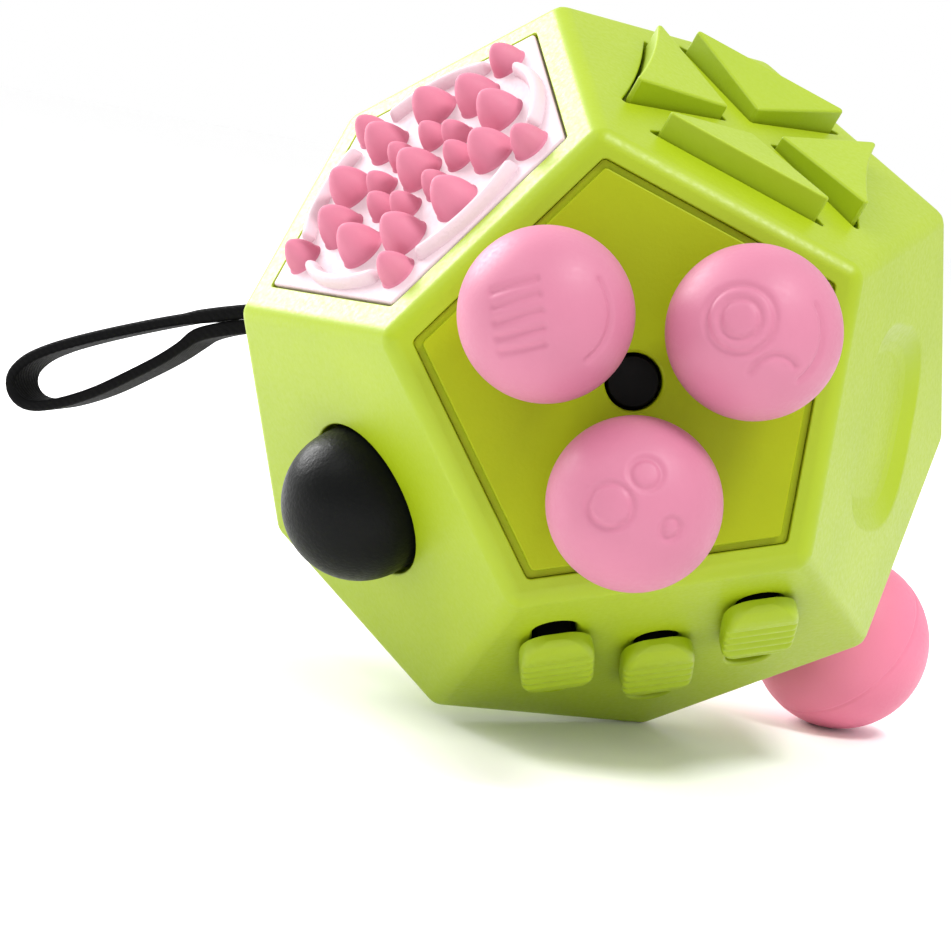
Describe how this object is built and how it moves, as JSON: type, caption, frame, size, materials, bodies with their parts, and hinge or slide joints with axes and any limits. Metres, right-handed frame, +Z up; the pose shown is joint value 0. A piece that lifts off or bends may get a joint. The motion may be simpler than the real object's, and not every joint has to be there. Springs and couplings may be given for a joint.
{
  "type": "twelve-sided fidget toy",
  "caption": "Palm-sized twelve-sided fidget toy with a different finger game on every side, and a short wrist strap.",
  "frame": {"origin": "on the surface it stands on, under the middle of the toy without its strap", "axes": "+Z up; the face with the three spinning balls looks forward along -Y and 5 degrees up; the strap is at -X and the joystick at +X; the toy is rolled about its front axis so that it stands on one corner and on the joystick ball"},
  "size_m": [0.0885, 0.068, 0.0594],
  "materials": {
    "lime_plastic": "moulded, softly rounded edges",
    "olive_plastic": "moulded, satin",
    "pink_plastic": "soft touch, matte",
    "pale_silicone": "soft silicone",
    "black_plastic": "satin black",
    "black_webbing": "woven strap",
    "steel": "drawn wire and pins",
    "grey_plastic": "inner mouldings",
    "grey_silicone": "inner membranes"
  },
  "bodies": {
    "case": {"front_shell": "lime_plastic", "back_shell": "lime_plastic", "ball_plate": "olive_plastic", "plate_cap": "black_plastic", "ball_pin_1": "steel", "ball_pin_2": "steel", "ball_pin_3": "steel", "massage_pad": "pale_silicone", "button_membrane": "grey_silicone", "slide_plate": "black_plastic", "dome_cup": "grey_plastic", "dome_spring": "steel", "joystick_cup": "grey_plastic", "joystick_spring": "steel", "rocker_frame": "black_plastic", "rocker_pin": "steel", "strap_cage": "grey_plastic", "strap_pin": "steel", "wrist_strap": "black_webbing", "wheel_axle": "steel", "wheel_bracket": "grey_plastic", "click_pad": "grey_silicone", "detent_leaf": "steel"},
    "ball_1": {"spin_ball_1": "pink_plastic"},
    "ball_2": {"spin_ball_2": "pink_plastic"},
    "ball_3": {"spin_ball_3": "pink_plastic"},
    "arrow_right": {"arrow_button_right": "lime_plastic"},
    "arrow_near": {"arrow_button_near": "lime_plastic"},
    "arrow_left": {"arrow_button_left": "lime_plastic"},
    "arrow_far": {"arrow_button_far": "lime_plastic"},
    "slider_1": {"slider_cap_1": "lime_plastic", "slider_foot_1": "black_plastic"},
    "slider_2": {"slider_cap_2": "lime_plastic", "slider_foot_2": "black_plastic"},
    "slider_3": {"slider_cap_3": "lime_plastic", "slider_foot_3": "black_plastic"},
    "dome_carrier": {"dome_carrier": "grey_plastic"},
    "dome": {"dome": "black_plastic"},
    "gimbal": {"gimbal_ring": "grey_plastic", "gimbal_pin_1": "steel", "gimbal_pin_2": "steel", "stem_pin": "steel"},
    "joystick": {"joystick_ball": "pink_plastic", "joystick_stem": "grey_plastic", "stem_skirt": "black_plastic"},
    "rocker": {"rocker": "olive_plastic"},
    "wheel_1": {"toothed_wheel_1": "pink_plastic"},
    "wheel_2": {"toothed_wheel_2": "pink_plastic"},
    "wheel_3": {"toothed_wheel_3": "pink_plastic"},
    "click_1": {"click_button_1": "pink_plastic"},
    "click_2": {"click_button_2": "pink_plastic"},
    "click_3": {"click_button_3": "pink_plastic"},
    "dial": {"dial": "pink_plastic", "dial_clip": "steel"}
  },
  "joints": [
    {"name": "ball_spin_1", "type": "hinge", "parent": "case", "child": "ball_1", "pos_m": [0.00463, -0.02634, 0.03732], "axis": [0, -0.9962, 0.0872], "continuous": true},
    {"name": "ball_spin_2", "type": "hinge", "parent": "case", "child": "ball_2", "pos_m": [-0.01047, -0.02646, 0.03596], "axis": [0, -0.9962, 0.0872], "continuous": true},
    {"name": "ball_spin_3", "type": "hinge", "parent": "case", "child": "ball_3", "pos_m": [-0.00173, -0.02754, 0.02362], "axis": [0, -0.9962, 0.0872], "continuous": true},
    {"name": "arrow_press_right", "type": "slide", "parent": "case", "child": "arrow_right", "axis": [-0.2794, 0.3715, -0.8854], "range_m": [0, 0.0012], "stiffness_N_per_m": 900, "springref_m": -0.0008},
    {"name": "arrow_press_near", "type": "slide", "parent": "case", "child": "arrow_near", "axis": [-0.2794, 0.3715, -0.8854], "range_m": [0, 0.0012], "stiffness_N_per_m": 900, "springref_m": -0.0008},
    {"name": "arrow_press_left", "type": "slide", "parent": "case", "child": "arrow_left", "axis": [-0.2794, 0.3715, -0.8854], "range_m": [0, 0.0012], "stiffness_N_per_m": 900, "springref_m": -0.0008},
    {"name": "arrow_press_far", "type": "slide", "parent": "case", "child": "arrow_far", "axis": [-0.2794, 0.3715, -0.8854], "range_m": [0, 0.0012], "stiffness_N_per_m": 900, "springref_m": -0.0008},
    {"name": "slide_1", "type": "slide", "parent": "case", "child": "slider_1", "axis": [-0.1367, -0.8539, 0.5021], "range_m": [-0.0054, 0.0028]},
    {"name": "slide_2", "type": "slide", "parent": "case", "child": "slider_2", "axis": [-0.1367, -0.8539, 0.5021], "range_m": [-0.0065, 0.0017]},
    {"name": "slide_3", "type": "slide", "parent": "case", "child": "slider_3", "axis": [-0.1367, -0.8539, 0.5021], "range_m": [-0.0069, 0.0013]},
    {"name": "dome_press", "type": "slide", "parent": "case", "child": "dome_carrier", "axis": [0.7254, 0.4911, 0.4822], "range_m": [0, 0.0012], "stiffness_N_per_m": 900, "springref_m": -0.001, "deforming": ["dome_spring"]},
    {"name": "dome_spin", "type": "hinge", "parent": "dome_carrier", "child": "dome", "pos_m": [-0.02066, -0.00663, 0.01741], "axis": [-0.7254, -0.4911, -0.4822], "continuous": true},
    {"name": "joystick_tilt_across", "type": "hinge", "parent": "case", "child": "gimbal", "pos_m": [0.01119, 0.01324, 0.01872], "axis": [-0.5906, -0.0703, -0.8039], "range_deg": [-15, 15], "stiffness_Nm_per_rad": 0.12},
    {"name": "joystick_tilt_along", "type": "hinge", "parent": "gimbal", "child": "joystick", "pos_m": [0.01119, 0.01324, 0.01872], "axis": [-0.3609, 0.914, 0.1852], "range_deg": [-15, 15], "stiffness_Nm_per_rad": 0.12},
    {"name": "rocker_tip", "type": "hinge", "parent": "case", "child": "rocker", "pos_m": [-0.00887, 0.01408, 0.00936], "axis": [0.1397, 0.9281, 0.3453], "range_deg": [-18, 0]},
    {"name": "wheel_spin_1", "type": "hinge", "parent": "case", "child": "wheel_1", "pos_m": [-0.0121, 0.01688, 0.04595], "axis": [0.9521, 0.0266, 0.3045], "continuous": true},
    {"name": "wheel_spin_2", "type": "hinge", "parent": "case", "child": "wheel_2", "pos_m": [-0.00848, 0.01698, 0.04711], "axis": [0.9521, 0.0266, 0.3045], "continuous": true},
    {"name": "wheel_spin_3", "type": "hinge", "parent": "case", "child": "wheel_3", "pos_m": [-0.00487, 0.01708, 0.04826], "axis": [0.9521, 0.0266, 0.3045], "continuous": true},
    {"name": "click_press_1", "type": "slide", "parent": "case", "child": "click_1", "axis": [-0.7254, -0.4911, -0.4822], "range_m": [0, 0.0012], "stiffness_N_per_m": 900, "springref_m": -0.0008},
    {"name": "click_press_2", "type": "slide", "parent": "case", "child": "click_2", "axis": [-0.7254, -0.4911, -0.4822], "range_m": [0, 0.0012], "stiffness_N_per_m": 900, "springref_m": -0.0008},
    {"name": "click_press_3", "type": "slide", "parent": "case", "child": "click_3", "axis": [-0.7254, -0.4911, -0.4822], "range_m": [0, 0.0012], "stiffness_N_per_m": 900, "springref_m": -0.0008},
    {"name": "dial_turn", "type": "hinge", "parent": "case", "child": "dial", "pos_m": [-0.00252, 0.03055, 0.02728], "axis": [0, 0.9962, -0.0872], "continuous": true}
  ]
}
